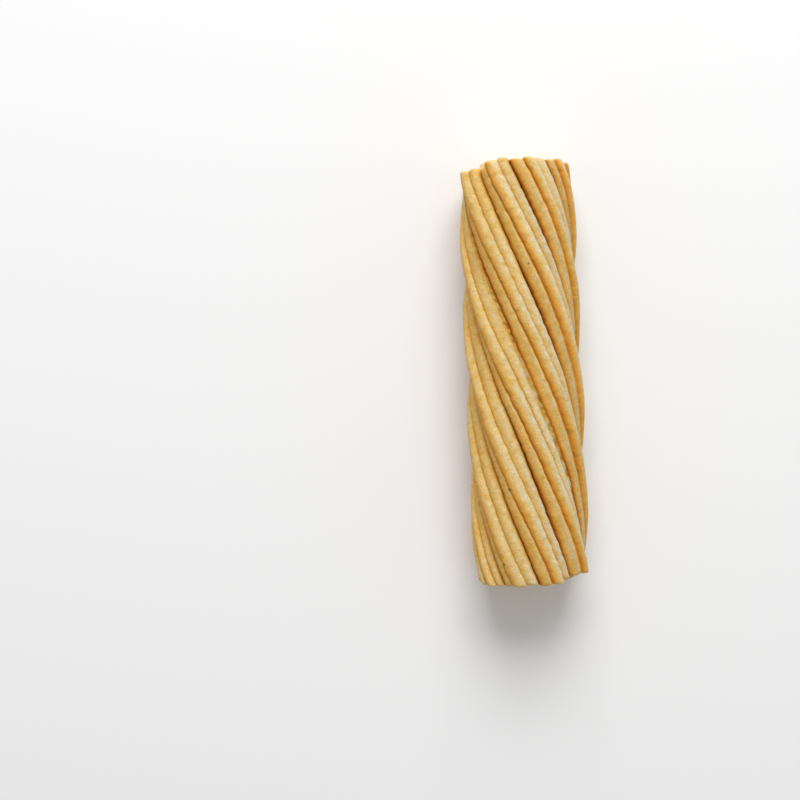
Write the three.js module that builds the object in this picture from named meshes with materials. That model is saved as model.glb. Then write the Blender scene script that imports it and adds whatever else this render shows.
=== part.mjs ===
// A soft twisted stick of candy dough. Thin strands of dough are pressed together into eight lobes, mostly
// of three strands each, and the whole bundle is twisted a little over half a turn and cut to length.
// The stick lies on its side along Y. Sizes are millimetres, +Z is up, and the origin is on the surface
// that the stick lies on, under its middle.

import * as THREE from "three";

const degree = Math.PI / 180;

// The whole stick
const stickLength = 62.6;
const meanRadius = 8.4; // from the stick's axis to a strand's crest
const flatness = 0.92; // the soft stick sags a little, so it is less high than wide
const axisHeight = 7.3; // less than the lowest crests' reach, as they are pressed flat
const turn = 196 * degree; // how far the strands wind round between the two ends, left-handed
const turnBow = 4.1 * degree; // how far both ends lie behind an even turn
const turnGain = 2.1 * degree; // how far the turn quickens towards each end

// The widths of the strands round the stick, lobe by lobe, each at the lower cut and at the upper one. The
// first lobe starts at firstGroove, an angle from the top of the stick towards +X. A lobe of one strand is
// a thin one sunk between two lobes.
const firstGroove = -136.3 * degree;
const lobes = [
  [[2.09, 1.95], [2.18, 2.45], [2.42, 2.55]],
  [[2.2, 1.81], [2.17, 2.3], [2.3, 2.64]],
  [[2.4, 1.52], [2.24, 2.05], [1.4, 2.49]],
  [[0.75, 0.93]],
  [[2.61, 1.58], [2.64, 2.48], [0.97, 2.52]],
  [[2.99, 1.74], [2.82, 2.74], [1.03, 2.04]],
  [[2.48, 2.17], [2.83, 2.46], [2.05, 2.32]],
  [[1.78, 1.64], [2.06, 2.06], [1.92, 1.92]],
  [[1.84, 1.84], [1.77, 1.77], [1.76, 1.76], [1.37, 1.37]],
];

// How far a crest stands above the mean radius
const innerRise = 0.32; // inside a lobe
const firstRise = -0.5; // the lobe's first strand, beside the notch on its left
const lastRise = -0.32; // the lobe's last strand
const sunkRise = -0.9; // no crest of its own: it slopes down into the notch on its right
const shoulderTilt = 0.25; // a lobe's outer strands slope down towards its notches, by this much each way

// Grooves, measured down from the mean radius
const seamDepth = 0.66; // between two strands of one lobe
const lastSeamDepth = 0.5; // the seam on the left of a lobe's last strand
const notchDepth = 1.6; // between two lobes
const sunkNotchDepth = 1.25; // the notch on the right of a sunk strand
const depthUnevenness = 0.2; // a share of the depth

// Unevenness along the strands
const grooveWander = 1.4 * degree; // a groove's sideways wander
const quickWander = 0.35; // the quick wander as a share of the slow one
const slowSwell = 0.07;
const quickSwell = 0.04;

// How many waves of each kind of unevenness run from cut to cut
const slowWanderWaves = 0.75;
const quickWanderWaves = 2.6;
const slowSwellWaves = 1.3;
const quickSwellWaves = 6.3;
const depthWaves = 1.9;
const stepWaves = 0.3;

// The ends. Each cut rises and falls in soft steps, from one place across the stick to another.
const topSteps = [
  { rise: 0.2, from: 0.5, to: -3.4 },
  { rise: -1.25, from: -4.1, to: -5.2 },
  { rise: -0.15, from: 4, to: 4.8 },
];
const bottomSteps = [{ rise: -1.1, from: 3.3, to: 7.2 }];
const strandStep = 0.1; // a strand's end lies this far before or behind the cut
const tipRounding = 0.22; // how far a strand's end falls back from its middle to its grooves
const rimRounding = 0.32;
const topPinch = 0.09; // the cut squeezes the top, most on its +X side, by a share of the radius
const bottomPinch = 0.06; // and the bottom, most on its -X side
const pinchEvenness = 0.7; // the share of the squeeze half-way between the two sides
const pinchReach = 2.4;
const evenTurnStart = 0.8; // from the middle to a cut, where the strands' ends begin to turn evenly
const endBand = 0.76; // half-way in from the strands' own ends, as a share of the radius
const coreBand = 0.5; // where the cut's own surface starts

// The mesh
const columnsPerStrand = 6;
const rows = 22;
const goldenStride = 0.618034;
const plasticStride = 0.754878;

// A share of a turn that jumps about from one whole number to the next, the same on every run.
function scatter(index, stride) {
  return (index * stride) % 1;
}

// A wave between -1 and 1 with so many cycles along the stick.
function wave(along, cycles, phase) {
  return Math.sin(2 * Math.PI * (cycles * along + phase));
}

// 0 before the start, 1 past the end, and a soft step between them.
function softStep(value, start, end) {
  const share = THREE.MathUtils.clamp((value - start) / (end - start), 0, 1);
  return share * share * (3 - 2 * share);
}

// How far the crest of a strand rises, how it tilts and how deep the groove on its left is, by its place in
// its lobe.
function relief(place, number) {
  const count = lobes[number].length;
  if (count === 1) return { rise: sunkRise, tilt: 0, depth: seamDepth };
  if (place === count - 1) return { rise: lastRise, tilt: -shoulderTilt, depth: lastSeamDepth };
  if (place > 0) return { rise: innerRise, tilt: 0, depth: seamDepth };
  const besideSunk = lobes.at(number - 1).length === 1;
  const depth = besideSunk ? sunkNotchDepth : notchDepth;
  return { rise: firstRise, tilt: shoulderTilt, depth };
}

// The angles of the grooves round one cut: end 0 is the lower one and end 1 the upper one.
function grooveAngles(end) {
  const widths = lobes.flat().map((pair) => pair[end]);
  const total = widths.reduce((sum, width) => sum + width, 0);
  let angle = firstGroove;
  return widths.map((width) => {
    const left = angle;
    angle += (2 * Math.PI * width) / total;
    return left;
  });
}

// The strands in order round the stick, each with its left groove's angles at the two cuts.
function makeStrands() {
  const lower = grooveAngles(0);
  const upper = grooveAngles(1);
  return lobes
    .flatMap((lobe, number) => lobe.map((_, place) => relief(place, number)))
    .map((form, index) => ({ ...form, index, lower: lower[index], upper: upper[index] }));
}

const strands = makeStrands();

function neighbour(strand, step) {
  return strands[(strand.index + step + strands.length) % strands.length];
}

// The angle of the groove on a strand's left, before the twist.
function grooveAngle(strand, along) {
  const slow = wave(along, slowWanderWaves, scatter(strand.index, goldenStride));
  const quick = wave(along, quickWanderWaves, scatter(strand.index, plasticStride));
  const straight = THREE.MathUtils.lerp(strand.lower, strand.upper, along);
  return straight + grooveWander * (slow + quickWander * quick);
}

// The angle of the groove on a strand's right; the last strand's is the first one's, a full turn on.
function nextGrooveAngle(strand, along) {
  const next = neighbour(strand, 1);
  return grooveAngle(next, along) + (next.index === 0 ? 2 * Math.PI : 0);
}

function grooveRadius(strand, along) {
  const uneven = wave(along, depthWaves, scatter(strand.index + 0.5, plasticStride));
  return meanRadius - strand.depth * (1 + depthUnevenness * uneven);
}

function crestRadius(strand, along, share) {
  const slow = wave(along, slowSwellWaves, scatter(strand.index, goldenStride));
  const quick = wave(along, quickSwellWaves, scatter(strand.index, plasticStride));
  const tilt = strand.tilt * (2 * share - 1);
  return meanRadius + strand.rise + tilt + slowSwell * slow + quickSwell * quick;
}

// A point across a strand, from its left groove at 0 to its right groove at 1: half an ellipse that
// stands on the line between its two grooves.
function profile(strand, across, along) {
  const side = -Math.cos(Math.PI * across); // close together near the grooves
  const share = (side + 1) / 2;
  const left = grooveAngle(strand, along);
  const right = nextGrooveAngle(strand, along);
  const floor = THREE.MathUtils.lerp(
    grooveRadius(strand, along),
    grooveRadius(neighbour(strand, 1), along),
    share,
  );
  const height = Math.sin(Math.PI * across);
  return {
    angle: THREE.MathUtils.lerp(left, right, share),
    radius: floor + (crestRadius(strand, along, share) - floor) * height,
  };
}

// Where a strand lies at height y along the stick, as an angle from the top towards +X.
function twisted(angle, y) {
  const reach = (2 * y) / stickLength;
  return angle - (turn / 2) * reach - turnBow * reach ** 2 - turnGain * reach ** 3;
}

// The cut's height at a place across the stick, at the upper end (end = 1) or the lower one (end = -1).
function cutHeight(x, end) {
  const steps = end > 0 ? topSteps : bottomSteps;
  const rises = steps.map((step) => step.rise * softStep(x, step.from, step.to));
  return end * rises.reduce((sum, rise) => sum + rise, stickLength / 2);
}

// A strand's own end: the cut's height at the strand's middle, and a small step of its own.
function strandEnd(strand, end) {
  const along = end > 0 ? 1 : 0;
  const between = (grooveAngle(strand, along) + nextGrooveAngle(strand, along)) / 2;
  const middle = twisted(between, (end * stickLength) / 2);
  const step = strandStep * wave(along, stepWaves, scatter(strand.index, goldenStride));
  return cutHeight(meanRadius * Math.sin(evened(middle)), end) - end * step;
}

// The height of the rim at a column. A strand's tip is rounded like half an ellipse, and on a groove the
// height is midway between the tips of the strands beside it.
function rimHeight(strand, across, end) {
  const own = strandEnd(strand, end);
  const level = across > 0 ? own : (own + strandEnd(neighbour(strand, -1), end)) / 2;
  return level - end * tipRounding * (1 - Math.sin(Math.PI * across));
}

// The share of the radius that is left where the cut squeezed the stick.
function pinched(angle, y) {
  const top = topPinch * Math.exp((y - stickLength / 2) / pinchReach);
  const bottom = bottomPinch * Math.exp((-y - stickLength / 2) / pinchReach);
  const lean = (1 - pinchEvenness) * Math.sin(angle);
  return 1 - top * (pinchEvenness + lean) - bottom * (pinchEvenness - lean);
}

// The angle on the flattened stick that keeps the strands' widths nearly even all round.
function evened(angle) {
  const squash = (1 - flatness) / (1 + flatness);
  return angle - (squash / 2) * Math.sin(2 * angle);
}

// A point of the stick at an angle and a radius; nothing lies under the surface that it rests on.
function placed(angle, radius, y) {
  const on = evened(angle);
  const z = axisHeight + flatness * radius * Math.cos(on);
  return new THREE.Vector3(radius * Math.sin(on), y, Math.max(z, 0));
}

const columns = strands.flatMap((strand) =>
  Array.from({ length: columnsPerStrand }, (_, step) => ({
    strand,
    across: step / columnsPerStrand,
  })),
);

// One ring round the stick, a share of the way from the lower end to the upper one. The inset draws it
// in from the strands' surface, to round the rim. Near the ends the strands are turned as if the cuts were
// level, which keeps them in order where one strand's end stands well above the next.
function sideRing(along, inset) {
  const level = (along - 0.5) * stickLength;
  const evenness = softStep(Math.abs(2 * along - 1), evenTurnStart, 1);
  return columns.map(({ strand, across }) => {
    const low = rimHeight(strand, across, -1);
    const high = rimHeight(strand, across, 1);
    const y = THREE.MathUtils.lerp(low, high, along);
    const point = profile(strand, across, along);
    const angle = twisted(point.angle, THREE.MathUtils.lerp(y, level, evenness));
    return placed(angle, (point.radius - inset) * pinched(angle, y), y);
  });
}

// A smooth ring on the cut, inside the rim. The ring at the core band lies on the cut, and further out the
// strands' own ends count the more.
function cutRing(rim, band, end) {
  const radius = band * meanRadius;
  const ownShare = (band - coreBand) / (1 - coreBand);
  return columns.map(({ strand, across }, column) => {
    const straight = profile(strand, across, end > 0 ? 1 : 0).angle;
    const angle = evened(twisted(straight, (end * stickLength) / 2));
    const x = radius * Math.sin(angle);
    const y = THREE.MathUtils.lerp(cutHeight(x, end), rim[column].y, ownShare);
    return new THREE.Vector3(x, y, axisHeight + flatness * radius * Math.cos(angle));
  });
}

function makeRings() {
  const rounding = rimRounding / stickLength;
  const shares = [0, rounding];
  for (let row = 1; row < rows; row += 1) shares.push(row / rows);
  shares.push(1 - rounding, 1);
  const side = shares.map((along) =>
    sideRing(along, along === 0 || along === 1 ? rimRounding : 0),
  );
  const lower = side[0];
  const upper = side[side.length - 1];
  return [
    cutRing(lower, coreBand, -1),
    cutRing(lower, endBand, -1),
    ...side,
    cutRing(upper, endBand, 1),
    cutRing(upper, coreBand, 1),
  ];
}

// A closed skin over the rings in order, with a point at the middle of each end.
function skin(rings, start, finish) {
  const count = columns.length;
  const points = [start, ...rings.flat(), finish];
  const at = (ring, column) => 1 + ring * count + (column % count);
  const last = points.length - 1;
  const faces = [];
  for (let column = 0; column < count; column += 1) {
    faces.push(0, at(0, column + 1), at(0, column));
    for (let ring = 0; ring + 1 < rings.length; ring += 1) {
      const corner = at(ring, column);
      const beyond = at(ring + 1, column + 1);
      faces.push(corner, at(ring, column + 1), beyond);
      faces.push(corner, beyond, at(ring + 1, column));
    }
    faces.push(at(rings.length - 1, column), at(rings.length - 1, column + 1), last);
  }
  return new THREE.BufferGeometry().setFromPoints(points).setIndex(faces);
}

function twistedStick() {
  const start = placed(0, 0, cutHeight(0, -1));
  const finish = placed(0, 0, cutHeight(0, 1));
  const geometry = skin(makeRings(), start, finish);
  geometry.computeBoundingBox();
  const middle = geometry.boundingBox.getCenter(new THREE.Vector3());
  geometry.translate(-middle.x, -middle.y, 0);
  geometry.computeVertexNormals();
  const dough = new THREE.MeshStandardMaterial({
    color: 0xdcb87c,
    roughness: 0.72,
    metalness: 0,
  });
  const mesh = new THREE.Mesh(geometry, dough);
  mesh.name = "twisted_stick";
  return mesh;
}

const stick = new THREE.Group();
stick.add(twistedStick());

export default stick;
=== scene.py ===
"""A soft twisted stick of candy dough, with its floor, light and camera.

The stick is one closed surface: thin strands of dough pressed together into lobes, the whole bundle twisted
and cut at both ends. It repeats the solid's formulas on a fine grid and adds the dough's own unevenness.
Sizes in the tables and the shape functions are millimetres, and meshes and the stage are in metres.
"""

import math

import bpy
import numpy as np
from bpy.props import FloatProperty, FloatVectorProperty, PointerProperty
from mathutils import Matrix, Vector


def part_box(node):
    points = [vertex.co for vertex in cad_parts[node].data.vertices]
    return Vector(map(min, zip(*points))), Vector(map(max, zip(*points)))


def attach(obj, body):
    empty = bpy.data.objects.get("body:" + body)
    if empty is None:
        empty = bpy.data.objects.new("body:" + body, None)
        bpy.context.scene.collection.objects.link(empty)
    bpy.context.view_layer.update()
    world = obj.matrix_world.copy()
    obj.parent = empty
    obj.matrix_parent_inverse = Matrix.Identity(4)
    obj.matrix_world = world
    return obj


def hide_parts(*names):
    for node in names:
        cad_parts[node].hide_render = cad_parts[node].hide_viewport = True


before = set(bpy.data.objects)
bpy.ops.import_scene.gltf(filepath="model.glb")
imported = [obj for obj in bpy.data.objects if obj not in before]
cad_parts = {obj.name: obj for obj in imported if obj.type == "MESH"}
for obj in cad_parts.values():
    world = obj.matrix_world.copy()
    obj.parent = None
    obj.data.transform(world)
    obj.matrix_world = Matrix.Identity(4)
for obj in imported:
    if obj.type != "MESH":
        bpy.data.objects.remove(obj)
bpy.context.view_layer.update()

bl_info = {
    "name": "Twisted Candy Stick",
    "version": (1, 0, 0),
    "blender": (4, 5, 0),
    "location": "View3D > Sidebar > Candy Stick",
    "description": "Makes a soft twisted stick of candy dough with its floor, light and camera",
    "category": "Add Mesh",
}

MM = 0.001
NODE = "twisted_stick"
MARKS = "dough_marks"


def linear(code):
    """An sRGB hex code as linear red, green and blue, by the standard's curve."""
    shares = [int(code[at : at + 2], 16) / 255 for at in (0, 2, 4)]
    return tuple(
        share / 12.92 if share <= 0.04045 else ((share + 0.055) / 1.055) ** 2.4
        for share in shares
    )


# The widths of the strands round the stick, lobe by lobe, each at the lower cut and at the upper one, as in
# the solid. A lobe of one strand is a thin one sunk between two lobes.
LOBES = (
    ((2.09, 1.95), (2.18, 2.45), (2.42, 2.55)),
    ((2.2, 1.81), (2.17, 2.3), (2.3, 2.64)),
    ((2.4, 1.52), (2.24, 2.05), (1.4, 2.49)),
    ((0.75, 0.93),),
    ((2.61, 1.58), (2.64, 2.48), (0.97, 2.52)),
    ((2.99, 1.74), (2.82, 2.74), (1.03, 2.04)),
    ((2.48, 2.17), (2.83, 2.46), (2.05, 2.32)),
    ((1.78, 1.64), (2.06, 2.06), (1.92, 1.92)),
    ((1.84, 1.84), (1.77, 1.77), (1.76, 1.76), (1.37, 1.37)),
)

# How far a crest stands above the mean radius, and how far it rises towards the lobe's middle
INNER_RISE = 0.32
FIRST_RISE = -0.5
LAST_RISE = -0.32
SUNK_RISE = -0.9
SHOULDER_TILT = 0.25

# Grooves, measured down from the mean radius
SEAM_DEPTH = 0.6
LAST_SEAM_DEPTH = 0.5
NOTCH_DEPTH = 1.6
SUNK_NOTCH_DEPTH = 0.95

# Unevenness along the strands: sines, with their waves from one cut to the other
GROOVE_WANDER = math.radians(1.4)
SLOW_WANDER_WAVES = 0.75
QUICK_WANDER_WAVES = 2.6
QUICK_WANDER_SHARE = 0.35
DEPTH_UNEVENNESS = 0.2
DEPTH_WAVES = 1.9
DEPTH_SKIP = 0.5  # so that a groove's depth doesn't follow its wander
SLOW_SWELL = 0.07
SLOW_SWELL_WAVES = 1.3
QUICK_SWELL = 0.04
QUICK_SWELL_WAVES = 6.3

# Shares of a turn that spread whole numbers evenly round it
GOLDEN_STRIDE = 0.618034
PLASTIC_STRIDE = 0.754878

# The ends: each cut rises and falls in soft steps, by a height, from one place across the stick to another
TOP_STEPS = ((0.2, 0.5, -3.4), (-1.25, -4.1, -5.2), (-0.15, 4, 4.8))
BOTTOM_STEPS = ((-1.1, 3.3, 7.2),)
STRAND_STEP = 0.1
STRAND_STEP_WAVES = 0.3
TOP_PINCH = 0.09
BOTTOM_PINCH = 0.06
PINCH_EVENNESS = 0.7
PINCH_REACH = 2.4
TIP_ROUNDING = 0.25
RIM_ROUNDING = 0.4

# The strands inside, which show on the cuts alone: how many in each ring, and the ring's radius
INNER_RINGS = ((18, 5.45), (12, 3.6), (6, 1.8), (1, 0.0))
INNER_HALF_WIDTH = 0.92
INNER_SHIFT = 0.22
INNER_STEP = 0.8 * STRAND_STEP
STEP_SKIP = 3  # so that an inner strand's step doesn't follow its shift

# The cells of a cut's face
CELL_INSET = 0.8  # how far inside its crest an outer strand's cell has its middle, at least
CELL_DOME = 0.16
CREASE = 0.3
CREASE_REACH = 0.2
# How far the cut face darkens out from a crease
CREASE_DARKENING_REACH = 0.25
PORE_MARGIN = 0.5  # pores are full this far from a crease
EVEN_TURN_REACH = 0.12  # the share of the way inwards over which the columns turn to even places

# How toasted and how light each kind of strand is at places across it, from its left groove at 0 to its
# right one at 1. The toast is partly the dough's own colour and partly painted shade on shaded flanks and
# in the grooves, and the lightness is painted light and shade.
PLACES = (0, 0.15, 0.35, 0.7, 0.85, 1)
TOAST_AND_SHADE = {
    "first": (0.97, 0.59, 0.31, 0.2, 0.13, 0.33),
    "inner": (0.96, 0.58, 0.33, 0.06, 0, 0.1),
    "last": (0.34, 0.22, 0.13, 0, 0, 0.13),
    "sunk": (0.1, 0.14, 0.18, 0.3, 0.44, 0.63),
}
PAINTED_SHADING = {
    "first": (0.87, 0.91, 0.92, 0.9, 1, 1.25),
    "inner": (1.15, 1, 0.99, 0.99, 0.99, 0.99),
    "last": (0.97, 0.97, 0.96, 0.98, 0.98, 0.92),
    "sunk": (0.85, 0.83, 0.81, 0.76, 0.73, 0.72),
}
# Painted shade at the bottom of the grooves, given as extra toast colour
GROOVE_SHADE = 0.67  # what the bottom of a notch has on top of that
GROOVE_SHADE_POWER = 2.2  # of the depth, so that it stays near the bottom
LIGHTNESS_SPREAD = 0.03  # how far one strand may differ from its kind
SPREAD_SKIP = 2  # so that a strand's lightness doesn't follow its wander

# Painted shade and sheen that the stick's sides have on top of that, from the left one at -1 to the
# right one at 1: the left side is browner as painted shade, the right rim paler as a painted sheen, and
# both rims darker as painted shade.
SIDE_PLACES = (-1, -0.6, 0, 0.86, 1)
SIDE_SHADE_AND_SHEEN = (0.2, 0.1, 0, -0.12, -0.24)
SIDE_SHADE = (-0.03, -0.01, 0, 0, -0.05)

# Dark specks in the skin, by their places across and along the stick
SPECKS = ((0.86, 15.74), (-3.28, -17.05))
SPECK_RADIUS = 0.17

# Noise in layers, each with its height, the width of its lumps and its seed. A height of 1 stands for one
# that follows further down.
LONG_BUMPS = ((0.06, 2.6, 11), (0.03, 1.2, 12))
FINE_BUMPS = ((0.012, 0.6, 13),)
CRUMBS = ((1, 0.5, 14),)
JAGS = ((0.07, 0.9, 15), (0.075, 0.45, 16))
CRACK_GAPS = ((1, 2.6, 17),)
PORES = ((0.05, 0.7, 21), (0.03, 0.35, 22))

# The noise's lattice: how far apart the strands lie in it, and the numbers that stir its keys
STRAND_APART = 40.0
LATTICE_FACTORS = (73856093, 19349663, 83492791)
SEED_FACTOR = 2654435761
STIRS = ((15, 2246822519), (13, 3266489917))
LAST_SHIFT = 16

# Bumps of the dough, which are long and lie along the stick, and are lower in the grooves
BUMP_SQUEEZE = (1, 0.4, 1)
GROOVE_BUMPS = 0.35

# Crumbs of torn dough on the sunk strand, with painted shade in the hollows between them
CRUMB_RISE = 0.2
CRUMB_HOLLOW_SHADE = 0.42

# The crack that comes and goes along the bottom of a notch. It starts in grooves of the first share of a
# notch's depth, and is full in those of the second.
CRACK_DEPTH = 0.5
CRACK_HALF_WIDTH = 0.11
CRACK_OPENNESS = 0.5
CRACKED_GROOVES = (0.65, 0.95)

# How softly the lowest strands are pressed flat
PRESS_SOFTNESS = 0.08

# The grid
COLUMNS_PER_STRAND = 11
SIDE_ROWS = 278
RIM_ROWS = 4
CAP_RINGS = 28

# The stage, in metres: a square floor just below the stick, and a square lamp aimed at it from the +Y side
FLOOR_HALF_WIDTH = 0.9
FLOOR_GAP = 0.05 * MM
KEY_WIDTH = 0.43
KEY_DIRECTION = (0.05, 0.75, 0.66)
KEY_DISTANCE = 0.6

# The camera: straight above the stick's long side, with the stick off the picture's middle
STICK_LEAN = math.radians(2.43)
CAMERA_DISTANCE = 282.4 * MM
MIDDLE_RIGHT = 18.55 * MM
MIDDLE_UP = 4.2 * MM
SENSOR_WIDTH = 36  # in millimetres, as Blender takes it
NEAREST_SEEN = 0.01  # in metres


class StickShape(bpy.types.PropertyGroup):
    """Sizes of the whole stick."""

    length: FloatProperty(
        name="Length",
        description="From cut to cut",
        default=62.6 * MM,
        unit="LENGTH",
    )
    mean_radius: FloatProperty(
        name="Mean radius",
        description="From the stick's axis to the level that crests and grooves are measured from",
        default=8.4 * MM,
        unit="LENGTH",
    )
    flatness: FloatProperty(
        name="Flatness",
        description="Height over width, as the soft stick sags a little",
        default=0.92,
        min=0.5,
        max=1,
    )
    axis_height: FloatProperty(
        name="Axis height",
        description="Less than the lowest crests' reach, as they are pressed flat",
        default=7.3 * MM,
        unit="LENGTH",
    )
    first_groove: FloatProperty(
        name="First groove",
        description="Where the first lobe starts, from the top of the stick towards +X",
        default=math.radians(-136.3),
        subtype="ANGLE",
    )
    turn: FloatProperty(
        name="Turn",
        description="The even part of the strands' winding from cut to cut, left-handed",
        default=math.radians(196),
        subtype="ANGLE",
    )
    turn_bow: FloatProperty(
        name="Turn bow",
        description="How much more than that the upper half winds, and how much less the lower one",
        default=math.radians(4.1),
        subtype="ANGLE",
    )
    turn_gain: FloatProperty(
        name="Turn gain",
        description="How much more than that each half winds, most of it near its cut",
        default=math.radians(2.1),
        subtype="ANGLE",
    )


class DoughLook(bpy.types.PropertyGroup):
    """Colours and surface of the dough."""

    crest: FloatVectorProperty(
        name="Crest",
        description="Dry, pale skin on the crests of the strands",
        default=linear("DACAA3"),
        subtype="COLOR",
        size=3,
    )
    straw: FloatVectorProperty(
        name="Straw",
        description="Pale yellow dough beside the crests",
        default=linear("DFBF7D"),
        subtype="COLOR",
        size=3,
    )
    honey: FloatVectorProperty(
        name="Honey",
        description="Golden dough further down the strands",
        default=linear("E2B45E"),
        subtype="COLOR",
        size=3,
    )
    # The side and groove colours are the ramp's darker stops: the dough's toast, and painted shade on
    # shaded flanks and in the grooves
    side: FloatVectorProperty(
        name="Side",
        description="Toasted dough on the lower sides of the strands",
        default=linear("E09C36"),
        subtype="COLOR",
        size=3,
    )
    # Painted shade in part: the darkest stop, reached at the shaded bottom of the notches
    groove: FloatVectorProperty(
        name="Groove",
        description="Orange-brown dough at the bottom of the grooves",
        default=linear("A65605"),
        subtype="COLOR",
        size=3,
    )
    patch: FloatVectorProperty(
        name="Patch",
        description="Duller, slightly olive patches in the skin",
        default=linear("CBA757"),
        subtype="COLOR",
        size=3,
    )
    speck: FloatVectorProperty(
        name="Speck",
        description="Rare dark specks in the dough",
        default=linear("3E2A18"),
        subtype="COLOR",
        size=3,
    )
    crumb: FloatVectorProperty(
        name="Crumb",
        description="The torn, pale inside of the dough on the cuts",
        default=linear("E9CF97"),
        subtype="COLOR",
        size=3,
    )
    roughness: FloatProperty(
        name="Roughness",
        description="Dry dough is matte",
        default=0.62,
        min=0,
        max=1,
        subtype="FACTOR",
    )


class StageLook(bpy.types.PropertyGroup):
    """Floor, light and camera."""

    floor: FloatVectorProperty(
        name="Floor",
        description="Pale matte board",
        default=linear("F6F6F6"),
        subtype="COLOR",
        size=3,
    )
    key_power: FloatProperty(
        name="Key power",
        description="Power of the soft light from the stick's +Y side, in watts",
        default=3.55,
        min=0,
    )
    fill: FloatProperty(
        name="Fill",
        description="Strength of the even light all round",
        default=0.42,
        min=0,
    )
    lens: FloatProperty(
        name="Lens",
        description="Focal length on a 36 mm sensor",
        default=85,
        unit="CAMERA",
    )


# Numbers

def scatter(index, stride):
    """A share of a turn that jumps about from one whole number to the next."""
    return (index * stride) % 1


def wave(along, cycles, phase):
    """A sine between -1 and 1 with so many cycles along the stick."""
    return np.sin(2 * np.pi * (cycles * along + phase))


def varied(index, stride):
    """A number between -1 and 1 that jumps about as scatter does: the sine of its share of a turn."""
    return np.sin(2 * np.pi * scatter(index, stride))


def soft_step(value, start, end):
    """0 before the start, 1 past the end, and the cubic 3s^2 - 2s^3 between them."""
    share = np.clip((value - start) / (end - start), 0, 1)
    return share * share * (3 - 2 * share)


def mixed(low, high, share):
    """A share of the way from low to high."""
    return low + (high - low) * share


def hashed(cells, seed):
    """A number between -1 and 1 for each cell of a lattice: its three whole numbers times large odd
    numbers, stirred by shifts and products."""
    factors = np.array(LATTICE_FACTORS, dtype=np.uint32)
    products = cells.astype(np.int64).astype(np.uint32) * factors
    keys = products.sum(axis=-1, dtype=np.uint32) + np.uint32(seed * SEED_FACTOR % 2**32)
    for shift, factor in STIRS:
        keys = (keys ^ (keys >> shift)) * np.uint32(factor)
    keys = keys ^ (keys >> LAST_SHIFT)
    return keys / np.float64(2**31) - 1


def lumps(points, size, seed):
    """Smooth value noise between -1 and 1: hashed numbers on a cubic lattice with the given spacing,
    blended by the cubic 3s^2 - 2s^3 along each axis."""
    scaled = points / size
    corner = np.floor(scaled)
    share = soft_step(scaled - corner, 0, 1)
    total = np.zeros(points.shape[:-1])
    for step in np.ndindex(2, 2, 2):
        offset = np.array(step)
        weight = np.prod(np.where(offset == 1, share, 1 - share), axis=-1)
        total += weight * hashed(corner + offset, seed)
    return total


def layered(points, layers):
    """The sum of value noise in layers, each times its height."""
    return sum(height * lumps(points, width, seed) for height, width, seed in layers)


# Shape

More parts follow.
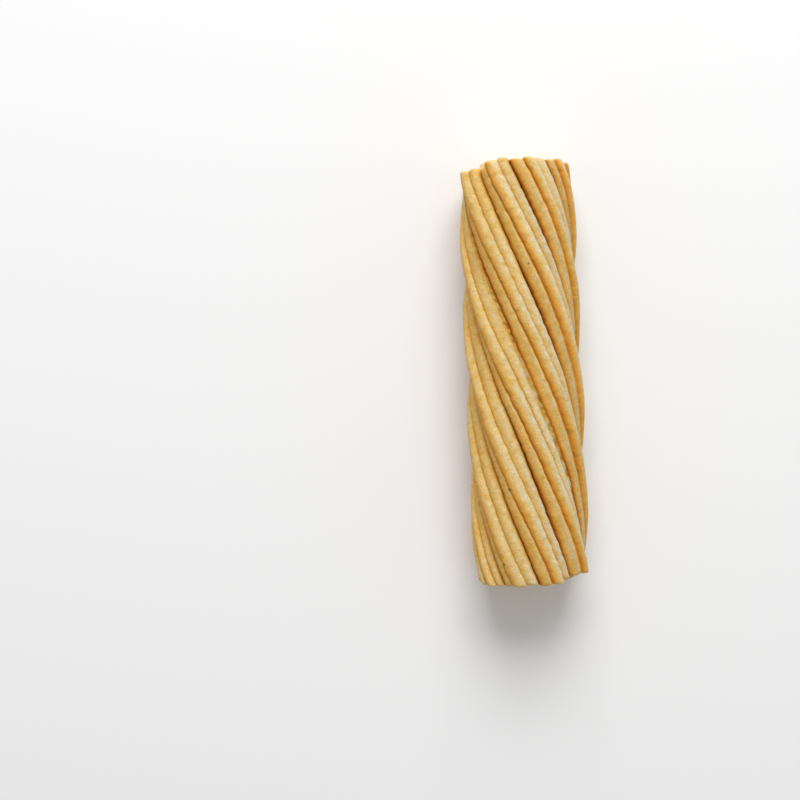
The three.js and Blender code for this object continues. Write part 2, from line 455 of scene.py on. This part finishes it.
class Bundle:
    """The strands in order round the stick, as arrays, in millimetres and radians."""

    def __init__(self, shape):
        self.length = shape.length / MM
        self.radius = shape.mean_radius / MM
        self.axis = shape.axis_height / MM
        self.flatness = shape.flatness
        self.turn = shape.turn
        self.turn_bow = shape.turn_bow
        self.turn_gain = shape.turn_gain
        widths = np.concatenate(LOBES)
        self.count = len(widths)
        self.index = np.arange(self.count)
        spans = 2 * np.pi * widths / widths.sum(axis=0)
        self.start = shape.first_groove + np.cumsum(spans, axis=0) - spans
        sizes = np.array([len(lobe) for lobe in LOBES for _ in lobe])
        places = np.array([place for lobe in LOBES for place in range(len(lobe))])
        self.kind = np.select(
            (sizes == 1, places == 0, places == sizes - 1), ("sunk", "first", "last"), "inner"
        )
        self.lone = self.kind == "sunk"
        self.rise = self.by_kind(
            sunk=SUNK_RISE, first=FIRST_RISE, last=LAST_RISE, inner=INNER_RISE
        )
        self.tilt = self.by_kind(sunk=0, first=SHOULDER_TILT, last=-SHOULDER_TILT, inner=0)
        depth = self.by_kind(
            sunk=SEAM_DEPTH, first=NOTCH_DEPTH, last=LAST_SEAM_DEPTH, inner=SEAM_DEPTH
        )
        self.depth = np.where(np.roll(self.lone, 1), SUNK_NOTCH_DEPTH, depth)

    def by_kind(self, **values):
        """Each strand's value, by its place in its lobe."""
        return np.select([self.kind == kind for kind in values], list(values.values()))

    def groove_angle(self, along):
        """Each strand's left groove before the twist: a straight line between its places at the two
        cuts and two sines of sideways wander."""
        slow = wave(along, SLOW_WANDER_WAVES, scatter(self.index, GOLDEN_STRIDE))
        quick = wave(along, QUICK_WANDER_WAVES, scatter(self.index, PLASTIC_STRIDE))
        straight = mixed(self.start[:, 0], self.start[:, 1], along)
        return straight + GROOVE_WANDER * (slow + QUICK_WANDER_SHARE * quick)

    def right_of(self, grooves):
        """Each strand's right groove, which is the next one's left; the last strand's is a full turn
        beyond the first one's."""
        lap = np.where(self.index == self.count - 1, 2 * np.pi, 0)
        return np.roll(grooves, -1, axis=-1) + lap

    def unevenness(self, along, layers):
        """Layers of value noise along each left groove."""
        height = along * self.length
        points = np.stack(np.broadcast_arrays(STRAND_APART * self.index, height, 0), axis=-1)
        return layered(points, layers)

    def jag(self, along):
        """Each left groove's sideways jags, as an angle."""
        return self.unevenness(along, JAGS) / self.radius

    def level(self, table, owner, share):
        """A table's level at a share of the way across each strand: straight lines between the
        places, and half-way between the two strands on the groove itself."""
        curves = {kind: np.interp(share, PLACES, levels) for kind, levels in table.items()}
        own = np.select([self.kind[owner] == kind for kind in curves], list(curves.values()))
        ends = self.by_kind(**{kind: levels[-1] for kind, levels in table.items()})
        return np.where(share > 0, own, (own + np.roll(ends, 1)[owner]) / 2)

    def groove_radius(self, along):
        """Each strand's left groove: the mean radius less the groove's depth, which varies by a sine."""
        uneven = wave(along, DEPTH_WAVES, scatter(self.index + DEPTH_SKIP, PLASTIC_STRIDE))
        return self.radius - self.depth * (1 + DEPTH_UNEVENNESS * uneven)

    def crest_radius(self, along):
        """Each strand's crest: the mean radius, its rise and two sines of swelling."""
        slow = wave(along, SLOW_SWELL_WAVES, scatter(self.index, GOLDEN_STRIDE))
        quick = wave(along, QUICK_SWELL_WAVES, scatter(self.index, PLASTIC_STRIDE))
        return self.radius + self.rise + SLOW_SWELL * slow + QUICK_SWELL * quick

    def twisted(self, angle, y):
        """Where an angle lies at height y: less half the turn, a square and a cube of the reach."""
        reach = 2 * y / self.length
        return (
            angle
            - self.turn / 2 * reach
            - self.turn_bow * reach**2
            - self.turn_gain * reach**3
        )

    def cut_height(self, x, end):
        """The cut's height at a place across the stick: half the length and its soft steps."""
        steps = TOP_STEPS if end > 0 else BOTTOM_STEPS
        rise = sum(height * soft_step(x, start, finish) for height, start, finish in steps)
        return end * (self.length / 2 + rise)

    def strand_end(self, end):
        """Each strand's own end: the cut's height at the strand's middle and a small step."""
        along = 1 if end > 0 else 0
        grooves = self.groove_angle(along)
        between = (grooves + self.right_of(grooves)) / 2
        middle = self.twisted(between, end * self.length / 2)
        step = STRAND_STEP * wave(along, STRAND_STEP_WAVES, scatter(self.index, GOLDEN_STRIDE))
        return self.cut_height(self.radius * np.sin(self.evened(middle)), end) - end * step

    def pinch(self, angle, y):
        """The share of the radius that is left where the cut squeezed the stick: it falls off as an
        exponential of the distance to the cut, and leans to one side as the sine of the angle."""
        top = TOP_PINCH * np.exp((y - self.length / 2) / PINCH_REACH)
        bottom = BOTTOM_PINCH * np.exp((-y - self.length / 2) / PINCH_REACH)
        lean = (1 - PINCH_EVENNESS) * np.sin(angle)
        return 1 - top * (PINCH_EVENNESS + lean) - bottom * (PINCH_EVENNESS - lean)

    def evened(self, angle):
        """The angle on the flattened stick that keeps the strands' widths nearly even all round: the
        angle less half the squash times the sine of twice the angle."""
        squash = (1 - self.flatness) / (1 + self.flatness)
        return angle - squash / 2 * np.sin(2 * angle)


class CutFace:
    """One cut end: cells round the ends of the strands, each at its own height."""

    def __init__(self, bundle, end):
        self.bundle = bundle
        self.end = end
        heights = bundle.strand_end(end)
        grooves = bundle.groove_angle(1 if end > 0 else 0)
        angle = bundle.twisted((grooves + bundle.right_of(grooves)) / 2, heights)
        angle = bundle.evened(angle)
        half = (bundle.right_of(grooves) - grooves) * bundle.radius / 2
        reach = bundle.radius + bundle.rise - np.maximum(half, CELL_INSET)
        centres = [np.stack((reach * np.sin(angle), reach * np.cos(angle)), axis=-1)]
        halves = [half]
        levels = [heights]
        serial = bundle.count
        for count, radius in INNER_RINGS:
            number = serial + np.arange(count)
            turn = 2 * np.pi * (np.arange(count) + scatter(serial, GOLDEN_STRIDE)) / count
            shift = np.stack((varied(number, GOLDEN_STRIDE), varied(number, PLASTIC_STRIDE)), axis=-1)
            ring = radius * np.stack((np.sin(turn), np.cos(turn)), axis=-1) + INNER_SHIFT * shift
            step = INNER_STEP * varied(number * STEP_SKIP, PLASTIC_STRIDE)
            centres.append(ring)
            halves.append(np.full(count, INNER_HALF_WIDTH))
            levels.append(bundle.cut_height(ring[:, 0], end) - end * step)
            serial += count
        self.centres = np.concatenate(centres)
        self.halves = np.concatenate(halves)
        self.levels = np.concatenate(levels)

    def height(self, x, z):
        """The cut's height at a point across the stick, with z measured from the axis: the nearest
        cell's level, lowered by a shallow dome and by a crease where two cells are equally near. The
        second value is how much nearer that cell is than the next."""
        up = z[..., None] / self.bundle.flatness
        gap = np.hypot(x[..., None] - self.centres[:, 0], up - self.centres[:, 1]) - self.halves
        order = np.partition(gap, 1, axis=-1)
        cell = np.argmin(gap, axis=-1)
        margin = order[..., 1] - order[..., 0]
        dome = CELL_DOME * np.clip(1 + order[..., 0] / self.halves[cell], 0, 1) ** 2
        crease = CREASE * np.exp(-margin / CREASE_REACH)
        return self.levels[cell] - self.end * (dome + crease), margin


def columns(bundle):
    """Each column's strand, and how far across the strand it lies."""
    owner = np.repeat(bundle.index, COLUMNS_PER_STRAND)
    across = np.tile(np.arange(COLUMNS_PER_STRAND) / COLUMNS_PER_STRAND, bundle.count)
    return owner, across


def side_rows(bundle):
    """How far along the stick each row lies and how far inside the skin: even rows up the side, and
    close ones on the quarter circle that rounds each rim."""
    corner = np.linspace(0, np.pi / 2, RIM_ROWS + 1)
    rim_step = RIM_ROUNDING * (1 - np.cos(corner)) / bundle.length
    rim_inset = RIM_ROUNDING * (1 - np.sin(corner))
    middle = np.linspace(rim_step[-1], 1 - rim_step[-1], SIDE_ROWS)[1:-1]
    along = np.concatenate((rim_step, middle, 1 - rim_step[::-1]))
    inset = np.concatenate((rim_inset, np.zeros(len(middle)), rim_inset[::-1]))
    return along[:, None], inset[:, None]


def side_heights(bundle, along):
    """Each point's height along the stick: a share of the way between its strand's two ends, which
    are rounded by half an ellipse. A groove ends half-way between the strands beside it."""
    owner, across = columns(bundle)
    low, high = [
        np.where(across > 0, tops[owner], (tops[owner] + np.roll(tops, 1)[owner]) / 2)
        for tops in (bundle.strand_end(-1), bundle.strand_end(1))
    ]
    tip = TIP_ROUNDING * (1 - np.sin(np.pi * across))
    return mixed(low + tip, high - tip, along)


def crack_depth(bundle, along, grooves, floors, share):
    """How deep the crack is at each point: a bell curve of the distance to either groove beside it,
    where noise along the groove opens it and the groove is deep."""
    owner, _ = columns(bundle)
    following = (owner + 1) % bundle.count
    opened = np.clip(CRACK_OPENNESS + bundle.unevenness(along, CRACK_GAPS), 0, 1)
    notched = opened * soft_step((bundle.radius - floors) / NOTCH_DEPTH, *CRACKED_GROOVES)
    width = (bundle.right_of(grooves) - grooves)[:, owner] * bundle.radius
    left = np.exp(-((share * width / CRACK_HALF_WIDTH) ** 2)) * notched[:, owner]
    right = np.exp(-(((1 - share) * width / CRACK_HALF_WIDTH) ** 2)) * notched[:, following]
    return CRACK_DEPTH * (left + right)


def side_grid(bundle):
    """The stick's side, as points and their marks of toast and painted shade, painted light and shade, cut
    and specks. A point across a strand lies on half an ellipse that stands on the line between its two
    grooves."""
    owner, across = columns(bundle)
    following = (owner + 1) % bundle.count
    along, inset = side_rows(bundle)
    share = (1 - np.cos(np.pi * across)) / 2
    height = np.sin(np.pi * across)

    grooves = bundle.groove_angle(along) + bundle.jag(along)
    floors = bundle.groove_radius(along)
    angle = mixed(grooves[:, owner], bundle.right_of(grooves)[:, owner], share)
    floor = mixed(floors[:, owner], floors[:, following], share)
    crest = bundle.crest_radius(along)[:, owner] + bundle.tilt[owner] * (2 * share - 1)
    radius = mixed(floor, crest, height)
    y = side_heights(bundle, along)

    skin = np.stack((radius * np.sin(angle), y, radius * np.cos(angle)), axis=-1)
    bumps = layered(skin * BUMP_SQUEEZE, LONG_BUMPS) + layered(skin, FINE_BUMPS)
    crumbs = bundle.lone[owner] * height * layered(skin, CRUMBS)
    relief = bumps * mixed(GROOVE_BUMPS, 1, height) + CRUMB_RISE * crumbs
    # Painted shade: more toast colour the deeper a point lies in a notch
    deep = np.clip((bundle.radius - radius) / NOTCH_DEPTH, 0, 1) ** GROOVE_SHADE_POWER
    # The hollows between the crumbs get painted shade as extra toast colour
    toast_and_shade = bundle.level(TOAST_AND_SHADE, owner, share) + GROOVE_SHADE * deep - CRUMB_HOLLOW_SHADE * crumbs
    radius = radius + relief - crack_depth(bundle, along, grooves, floors, share)

    # Twisted, rounded at the rims, flattened and pressed on the floor
    angle = bundle.twisted(angle, y)
    radius = (radius - inset) * bundle.pinch(angle, y)
    angle = bundle.evened(angle)
    x = radius * np.sin(angle)
    z = bundle.axis + bundle.flatness * radius * np.cos(angle)
    z = (z + np.sqrt(z * z + PRESS_SOFTNESS**2)) / 2
    points = np.stack((x, y, z), axis=-1)

    # Painted shade on the left side and at both rims, and a painted sheen on the right rim
    side = np.sin(angle)
    toast_and_shade = np.clip(toast_and_shade + np.interp(side, SIDE_PLACES, SIDE_SHADE_AND_SHEEN), 0, 1)
    # Painted light and shade by place across each kind of strand and at the sides, with each strand's own
    # small difference in tone
    spread = LIGHTNESS_SPREAD * varied(owner * SPREAD_SKIP, PLASTIC_STRIDE)
    shading_and_tone = bundle.level(PAINTED_SHADING, owner, share) + spread
    shading_and_tone = shading_and_tone + np.interp(side, SIDE_PLACES, SIDE_SHADE)
    cut = np.broadcast_to(inset / RIM_ROUNDING, x.shape)
    speck = sum(np.exp(-((x - u) ** 2 + (y - v) ** 2) / SPECK_RADIUS**2) for u, v in SPECKS)
    marks = np.stack((toast_and_shade, shading_and_tone, cut, speck * (z > bundle.axis)), axis=-1)
    return points, marks


def ordered_turns(bundle, end):
    """Angles round the axis at a cut for all columns, spread evenly over each strand."""
    owner, across = columns(bundle)
    grooves = bundle.groove_angle(1 if end > 0 else 0)
    angle = mixed(grooves[owner], bundle.right_of(grooves)[owner], across)
    angle = bundle.evened(bundle.twisted(angle, end * bundle.length / 2))
    return np.arctan2(np.sin(angle), bundle.flatness * np.cos(angle))


def cap_rings(bundle, rim, end):
    """Rings inside a cut, from the rim inwards: each is the rim drawn in towards the axis, lying on
    the cells of the cut. The columns soon turn from their places on the rim to even ones."""
    face = CutFace(bundle, end)
    share = (1 - np.arange(1, CAP_RINGS) / CAP_RINGS)[:, None]
    across, up = rim[:, 0], rim[:, 2] - bundle.axis
    turn = np.arctan2(across, up)
    change = (ordered_turns(bundle, end) - turn + np.pi) % (2 * np.pi) - np.pi
    turn = turn + change * soft_step(1 - share, 0, EVEN_TURN_REACH)
    reach = share * np.hypot(across, up)
    x = reach * np.sin(turn)
    z = reach * np.cos(turn)
    y, margin = face.height(x, z)
    points = np.stack((x, y, z + bundle.axis), axis=-1)
    points[..., 1] += layered(points, PORES) * soft_step(margin, 0, PORE_MARGIN)
    # The cut face darker and more orange towards the creases between the cells
    toast_and_shade = np.exp(-margin / CREASE_DARKENING_REACH)
    one = np.ones_like(x)
    marks = np.stack((toast_and_shade, one, one, 0 * one), axis=-1)
    return points, marks


def stick_surface(bundle):
    """The whole closed skin as a grid of rings, with a point at the middle of each cut."""
    side, side_marks = side_grid(bundle)
    lower, lower_marks = cap_rings(bundle, side[0], -1)
    upper, upper_marks = cap_rings(bundle, side[-1], 1)
    rings = np.concatenate((lower[::-1], side, upper))
    marks = np.concatenate((lower_marks[::-1], side_marks, upper_marks))
    poles = np.stack([lower[-1].mean(axis=0), upper[-1].mean(axis=0)])
    pole_marks = np.stack([lower_marks[-1].mean(axis=0), upper_marks[-1].mean(axis=0)])
    return rings, marks, poles, pole_marks


def ring_faces(ring_count, column_count):
    """Quads between neighbouring rings, and a fan of triangles from each pole to the ring beside it.
    The poles come after the rings' points."""
    ring, column = np.meshgrid(
        np.arange(ring_count - 1), np.arange(column_count), indexing="ij"
    )
    beyond = (column + 1) % column_count
    quads = np.stack(
        (
            ring * column_count + column,
            ring * column_count + beyond,
            (ring + 1) * column_count + beyond,
            (ring + 1) * column_count + column,
        ),
        axis=-1,
    ).reshape(-1, 4)
    here = np.arange(column_count)
    there = (here + 1) % column_count
    last = (ring_count - 1) * column_count
    pole = ring_count * column_count
    lower_fan = np.stack((np.full(column_count, pole), there, here), axis=-1)
    upper_fan = np.stack((np.full(column_count, pole + 1), last + here, last + there), axis=-1)
    return quads.tolist() + lower_fan.tolist() + upper_fan.tolist()


def stick_mesh(bundle):
    """The stick's mesh, its box centred on the solid's box and standing on its floor, with the marks
    that the dough's colour follows."""
    rings, marks, poles, pole_marks = stick_surface(bundle)
    ring_count, column_count = rings.shape[:2]
    points = np.concatenate((rings.reshape(-1, 3), poles)) * MM
    low, high = (np.array(corner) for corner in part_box(NODE))
    middle = (points.min(axis=0) + points.max(axis=0)) / 2
    points[:, :2] += ((low + high) / 2 - middle)[:2]
    points[:, 2] += low[2] - points[:, 2].min()
    mesh = bpy.data.meshes.new("twisted_dough")
    mesh.from_pydata(points, [], ring_faces(ring_count, column_count))
    layer = mesh.attributes.new(MARKS, "FLOAT_COLOR", "POINT")
    colours = np.concatenate((marks.reshape(-1, 4), pole_marks))
    layer.data.foreach_set("color", colours.astype(np.float32).ravel())
    mesh.shade_smooth()
    mesh.update()
    return mesh


# Materials

def add(tree, kind, inputs=None, **settings):
    """A node with its settings, its inputs either set to a value or linked from a socket."""
    made = tree.nodes.new(kind)
    for name, value in settings.items():
        setattr(made, name, value)
    for name, value in (inputs or {}).items():
        socket = made.inputs[name]
        if isinstance(value, bpy.types.NodeSocket):
            tree.links.new(value, socket)
        else:
            socket.default_value = value
    return made


def rgba(colour):
    """A colour with full alpha."""
    return (*colour, 1)


def sized(mm):
    """A texture's scale for features of about this size."""
    return 1 / (mm * MM)


def dough_material(look):
    """Soft candy dough, pressed through a die and air-dried. The eye sees a matte, fine-grained skin,
    pale on the crests, golden on the sides and orange-brown where strands meet: partly the dough's toast
    and partly painted shade, with painted light and shade on top."""
    material = bpy.data.materials.new("pressed_candy_dough")
    material.use_nodes = True
    tree = material.node_tree
    tree.nodes.clear()

    place = add(tree, "ShaderNodeTexCoord").outputs["Object"]
    marks = add(tree, "ShaderNodeAttribute", attribute_name=MARKS)
    parts = add(tree, "ShaderNodeSeparateColor", {"Color": marks.outputs["Color"]})
    toasted_and_shaded = parts.outputs["Red"]
    shading_and_tone = parts.outputs["Green"]
    cut = parts.outputs["Blue"]

    # Unevenness of the dough, from wide blotches down to its grain, by their sizes in millimetres
    blotch, patch, mottle, grain = [
        add(
            tree,
            "ShaderNodeTexNoise",
            {"Vector": place, "Scale": sized(mm), "Detail": 2.0, "Roughness": 0.6},
        ).outputs
        for mm in (3.2, 1.1, 0.7, 0.3)
    ]

    # The toast and painted shade reach up from the grooves by an uneven amount. The sum's mean is 1.5.
    swing = 0.28
    uneven = blotch["Fac"]
    for spots in (patch["Fac"], grain["Fac"]):
        uneven = add(tree, "ShaderNodeMath", {0: uneven, 1: spots}, operation="ADD").outputs[0]
    wobble = add(
        tree, "ShaderNodeMath", {0: uneven, 1: swing, 2: -1.5 * swing}, operation="MULTIPLY_ADD"
    ).outputs[0]
    toast_and_shade = add(tree, "ShaderNodeMath", {0: toasted_and_shaded, 1: wobble}, operation="ADD").outputs[0]
    # The ramp runs from the pale crests through golden to orange-brown, for the dough's toast and for
    # painted shade
    ramp = add(tree, "ShaderNodeValToRGB", {"Fac": toast_and_shade})
    stops = ramp.color_ramp.elements
    stops[0].color = rgba(look.crest)
    stops[1].color = rgba(look.groove)
    for position, colour in ((0.17, look.straw), (0.33, look.honey), (0.57, look.side)):
        stops.new(position).color = rgba(colour)

    # Duller patches about a millimetre wide
    duller = add(
        tree,
        "ShaderNodeMapRange",
        {"Value": patch["Fac"], "From Min": 0.48, "From Max": 0.7, "To Min": 0.0, "To Max": 0.4},
    ).outputs["Result"]
    skin = add(
        tree,
        "ShaderNodeMix",
        {"Factor": duller, "A": ramp.outputs["Color"], "B": rgba(look.patch)},
        data_type="RGBA",
    ).outputs[2]

    # The torn inside on the cuts, darker and more orange towards its creases
    face = add(
        tree,
        "ShaderNodeMix",
        {"Factor": toasted_and_shaded, "A": rgba(look.crumb), "B": rgba(look.side)},
        data_type="RGBA",
    ).outputs[2]
    body = add(
        tree, "ShaderNodeMix", {"Factor": cut, "A": skin, "B": face}, data_type="RGBA"
    ).outputs[2]
    # Painted light and shade, with each strand's own small difference in tone, scale the colour
    body = add(
        tree, "ShaderNodeVectorMath", {0: body, "Scale": shading_and_tone}, operation="SCALE"
    ).outputs[0]

    # Spots under a millimetre wide, creamier or yellower than the dough round them. They change the red
    # light that is returned least and the blue most.
    for spots, swings in (
        (mottle["Fac"], (0.12, 0.4, 1.2)),
        (mottle["Color"], (0.05, 0.06, 0.12)),
        (grain["Fac"], (0.5, 0.64, 1.0)),
    ):
        level = tuple(1 - swing / 2 for swing in swings)
        drift = add(
            tree, "ShaderNodeVectorMath", {0: spots, 1: swings, 2: level}, operation="MULTIPLY_ADD"
        ).outputs[0]
        body = add(
            tree, "ShaderNodeVectorMath", {0: body, 1: drift}, operation="MULTIPLY"
        ).outputs[0]

    # Rare dark specks, one in each cube of about 5 mm, and those that the marks place
    speck = add(
        tree, "ShaderNodeTexVoronoi", {"Vector": place, "Scale": sized(5.0)}
    ).outputs["Distance"]
    dark = add(
        tree,
        "ShaderNodeMapRange",
        {"Value": speck, "From Min": 0.03, "From Max": 0.05, "To Min": 0.8, "To Max": 0.0},
    ).outputs["Result"]
    dark = add(
        tree, "ShaderNodeMath", {0: dark, 1: marks.outputs["Alpha"]}, operation="MAXIMUM"
    ).outputs[0]
    body = add(
        tree,
        "ShaderNodeMix",
        {"Factor": dark, "A": body, "B": rgba(look.speck)},
        data_type="RGBA",
    ).outputs[2]

    sand = add(
        tree, "ShaderNodeBump", {"Height": grain["Fac"], "Distance": 0.1 * MM}
    ).outputs["Normal"]
    shader = add(
        tree,
        "ShaderNodeBsdfPrincipled",
        {
            "Base Color": body,
            "Roughness": look.roughness,
            "IOR": 1.45,
            "Specular IOR Level": 0.15,
            "Subsurface Weight": 0.35,
            "Subsurface Radius": (1.0, 0.5, 0.2),
            "Subsurface Scale": 0.7 * MM,
            "Normal": sand,
        },
    )
    add(tree, "ShaderNodeOutputMaterial", {"Surface": shader.outputs["BSDF"]})
    return material


def board_material(look):
    """Matte painted board: an even, pale floor with no shine."""
    material = bpy.data.materials.new("matte_white_board")
    material.use_nodes = True
    shader = material.node_tree.nodes["Principled BSDF"]
    shader.inputs["Base Color"].default_value = rgba(look.floor)
    shader.inputs["Roughness"].default_value = 0.9
    shader.inputs["Specular IOR Level"].default_value = 0.1
    return material


# Stage

def aimed(position, target, up):
    """The turn and place of something that looks from a position to a target along its own -Z."""
    back = (position - target).normalized()
    right = up.cross(back).normalized()
    top = back.cross(right)
    turn = Matrix((right, top, back)).transposed().to_4x4()
    return Matrix.Translation(position) @ turn


def board(look, height):
    """The floor: one large square."""
    sheet = bpy.data.meshes.new("floor")
    signs = ((-1, -1), (1, -1), (1, 1), (-1, 1))
    corners = [(FLOOR_HALF_WIDTH * x, FLOOR_HALF_WIDTH * y, height) for x, y in signs]
    sheet.from_pydata(corners, [], [(0, 1, 2, 3)])
    sheet.materials.append(board_material(look))
    return bpy.data.objects.new("floor", sheet)


def key_light(look, target):
    """A large, soft lamp aimed at the target."""
    lamp = bpy.data.lights.new("key", "AREA")
    lamp.shape = "SQUARE"
    lamp.size = KEY_WIDTH
    lamp.energy = look.key_power
    key = bpy.data.objects.new("key", lamp)
    from_side = Vector(KEY_DIRECTION).normalized() * KEY_DISTANCE
    key.matrix_world = aimed(target + from_side, target, Vector((0, 0, 1)))
    return key


def even_light(look):
    """A white world."""
    world = bpy.data.worlds.new("even_light")
    world.use_nodes = True
    sky = world.node_tree.nodes["Background"]
    sky.inputs["Color"].default_value = rgba(linear("FFFFFF"))
    sky.inputs["Strength"].default_value = look.fill
    return world


def camera_above(look, middle):
    """The camera, which looks straight down. The stick leans a little, and lies to the right of the
    picture's middle and above it."""
    lens = bpy.data.cameras.new("camera")
    lens.lens = look.lens
    lens.sensor_width = SENSOR_WIDTH
    lens.clip_start = NEAREST_SEEN
    camera = bpy.data.objects.new("camera", lens)
    right = Vector((math.cos(STICK_LEAN), -math.sin(STICK_LEAN), 0))
    up = Vector((math.sin(STICK_LEAN), math.cos(STICK_LEAN), 0))
    target = middle - right * MIDDLE_RIGHT - up * MIDDLE_UP
    position = target + Vector((0, 0, CAMERA_DISTANCE))
    camera.matrix_world = aimed(position, target, up)
    return camera


# Operators

class CANDY_OT_twisted_stick(bpy.types.Operator):
    """Make the twisted stick of dough with its two cut ends"""

    bl_idname = "candy.twisted_stick"
    bl_label = "Twisted Stick"

    def execute(self, context):
        bundle = Bundle(context.scene.candy_stick_shape)
        stick = bpy.data.objects.new("twisted_dough", stick_mesh(bundle))
        context.scene.collection.objects.link(stick)
        stick.data.materials.append(dough_material(context.scene.candy_dough_look))
        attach(stick, "root")
        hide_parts(NODE)
        return {"FINISHED"}


class CANDY_OT_stage(bpy.types.Operator):
    """Make the pale floor, the soft light and the camera"""

    bl_idname = "candy.stage"
    bl_label = "Stage"

    def execute(self, context):
        scene = context.scene
        look = scene.candy_stage_look
        low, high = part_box(NODE)
        middle = (low + high) / 2
        middle.z = scene.candy_stick_shape.axis_height

        floor = board(look, low.z - FLOOR_GAP)
        scene.collection.objects.link(floor)
        scene.collection.objects.link(key_light(look, middle))
        scene.world = even_light(look)
        camera = camera_above(look, middle)
        scene.collection.objects.link(camera)
        scene.camera = camera
        scene.view_settings.view_transform = "Standard"
        return {"FINISHED"}


class CANDY_PT_stick(bpy.types.Panel):
    """The stick's sizes and looks"""

    bl_label = "Candy Stick"
    bl_idname = "CANDY_PT_stick"
    bl_space_type = "VIEW_3D"
    bl_region_type = "UI"
    bl_category = "Candy Stick"

    def draw(self, context):
        scene = context.scene
        for group in (scene.candy_stick_shape, scene.candy_dough_look, scene.candy_stage_look):
            column = self.layout.column()
            for name in group.bl_rna.properties.keys():
                if name not in ("rna_type", "name"):
                    column.prop(group, name)
        self.layout.operator(CANDY_OT_twisted_stick.bl_idname)
        self.layout.operator(CANDY_OT_stage.bl_idname)


CLASSES = (
    StickShape,
    DoughLook,
    StageLook,
    CANDY_OT_twisted_stick,
    CANDY_OT_stage,
    CANDY_PT_stick,
)


def register():
    for kind in CLASSES:
        bpy.utils.register_class(kind)
    bpy.types.Scene.candy_stick_shape = PointerProperty(type=StickShape)
    bpy.types.Scene.candy_dough_look = PointerProperty(type=DoughLook)
    bpy.types.Scene.candy_stage_look = PointerProperty(type=StageLook)


def unregister():
    del bpy.types.Scene.candy_stage_look
    del bpy.types.Scene.candy_dough_look
    del bpy.types.Scene.candy_stick_shape
    for kind in reversed(CLASSES):
        bpy.utils.unregister_class(kind)


def main():
    register()
    bpy.ops.candy.twisted_stick()
    bpy.ops.candy.stage()


if __name__ == "__main__":
    main()
